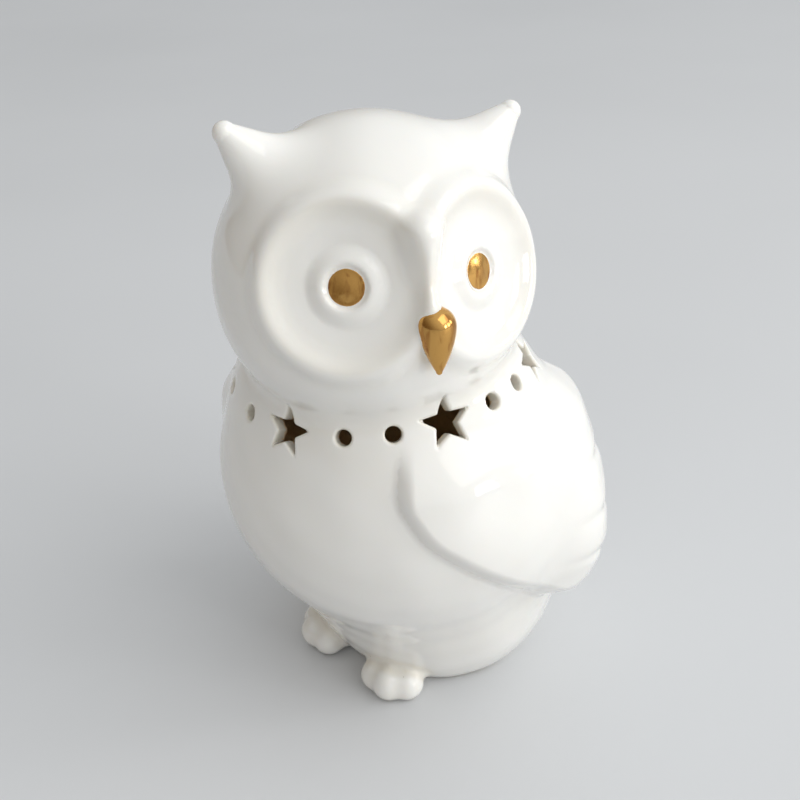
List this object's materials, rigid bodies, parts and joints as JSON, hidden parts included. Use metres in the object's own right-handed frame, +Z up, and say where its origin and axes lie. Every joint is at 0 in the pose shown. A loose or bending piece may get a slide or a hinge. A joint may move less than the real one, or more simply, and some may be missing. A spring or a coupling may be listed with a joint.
{
  "type": "owl figurine night light",
  "caption": "Hollow glazed ceramic owl with its head turned, gilded beak and pupils, a collar of pierced stars and holes, and a pull-out battery LED candle.",
  "frame": {"origin": "on the table at the middle of the owl's bounding box", "axes": "+Z up out of the flat foot ring, -Y is the way the owl's body and feet face, +X is the owl's left"},
  "size_m": [0.0988, 0.0946, 0.1499],
  "materials": {
    "ceramic_glaze": "glossy warm white glaze",
    "gold_lustre": "fired gold lustre, mirror bright",
    "lamp_plastic": "satin moulded white",
    "flame_plastic": "translucent warm white",
    "led_epoxy": "clear amber epoxy",
    "lead_metal": "tinned",
    "cell_steel": "brushed",
    "spring_steel": "nickel plated",
    "screw_steel": "zinc plated",
    "switch_plastic": "matt black",
    "silicone": "matt translucent silicone"
  },
  "bodies": {
    "owl": {"body_casting": "ceramic_glaze", "head_casting": "ceramic_glaze", "beak_gilding": "gold_lustre", "pupil_gilding_left": "gold_lustre", "pupil_gilding_right": "gold_lustre"},
    "lamp_unit": {"lamp_base": "lamp_plastic", "lamp_cup": "lamp_plastic", "flame_lens": "flame_plastic", "led_lamp": "led_epoxy", "led_leads": "lead_metal", "battery_cell": "cell_steel", "contact_spring": "spring_steel", "contact_clip": "spring_steel", "door_hinge_pin": "screw_steel", "switch_body": "switch_plastic", "grip_ring": "silicone"},
    "door": {"battery_door": "lamp_plastic", "door_screw": "screw_steel"},
    "switch": {"switch_slider": "switch_plastic"}
  },
  "joints": [
    {"name": "lamp_pull_out", "type": "slide", "parent": "owl", "child": "lamp_unit", "axis": [0, 0, -1], "range_m": [0, 0.045]},
    {"name": "battery_door_hinge", "type": "hinge", "parent": "lamp_unit", "child": "door", "pos_m": [-0.0162, 0.0048, 0.0013], "axis": [0, 1, 0], "range_deg": [0, 95]},
    {"name": "switch_slide", "type": "slide", "parent": "lamp_unit", "child": "switch", "axis": [1, 0, 0], "range_m": [0, 0.0025]}
  ]
}
